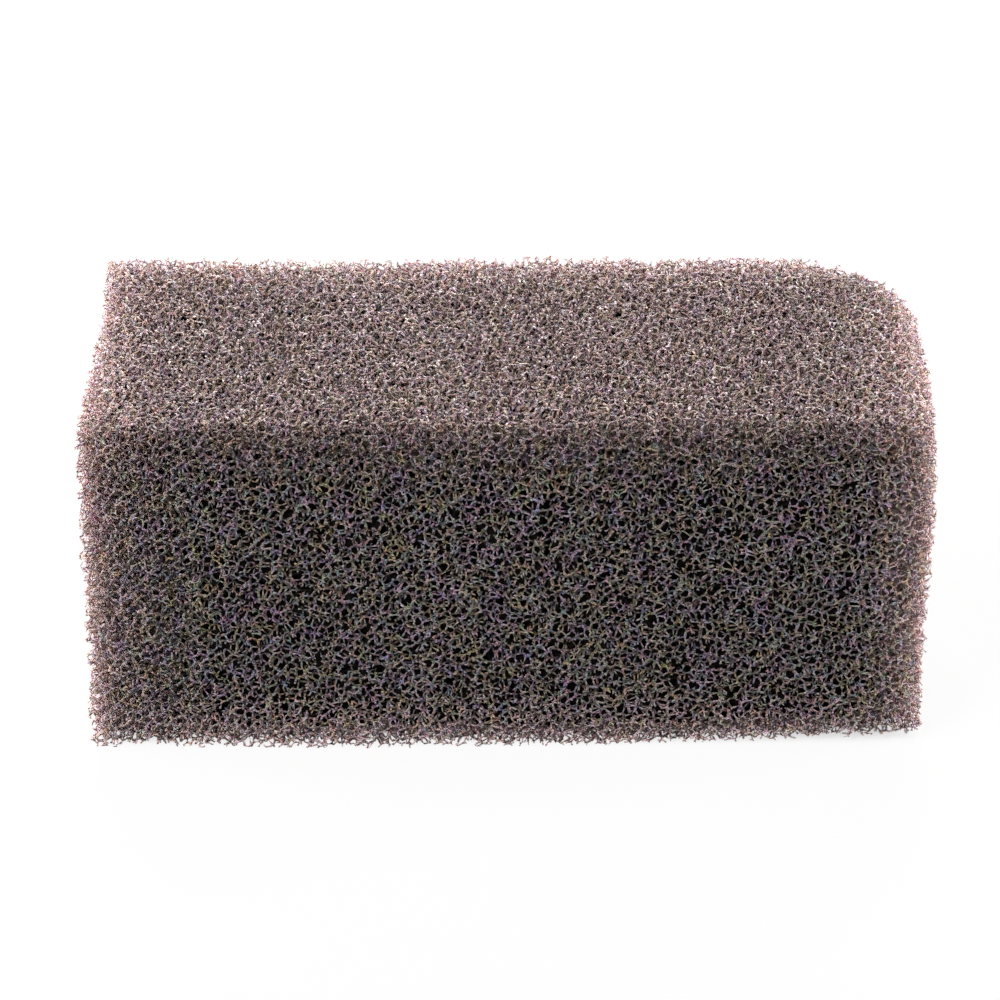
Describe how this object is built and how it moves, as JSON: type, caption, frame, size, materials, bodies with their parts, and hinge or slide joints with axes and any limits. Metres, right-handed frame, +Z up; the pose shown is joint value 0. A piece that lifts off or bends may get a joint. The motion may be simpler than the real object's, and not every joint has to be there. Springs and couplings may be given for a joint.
{
  "type": "sponge filter",
  "caption": "Rectangular block of dark grey open-cell foam with one rounded upright corner, which fills a filter chamber and strains water.",
  "frame": {"origin": "centre of the rectangle that the base stands on, on the resting surface", "axes": "+X along the block's length to the right, +Y from front to back, +Z up"},
  "size_m": [0.14, 0.065, 0.06],
  "materials": {
    "foam": "matte"
  },
  "bodies": {
    "root": {"foam_block": "foam"}
  },
  "joints": []
}
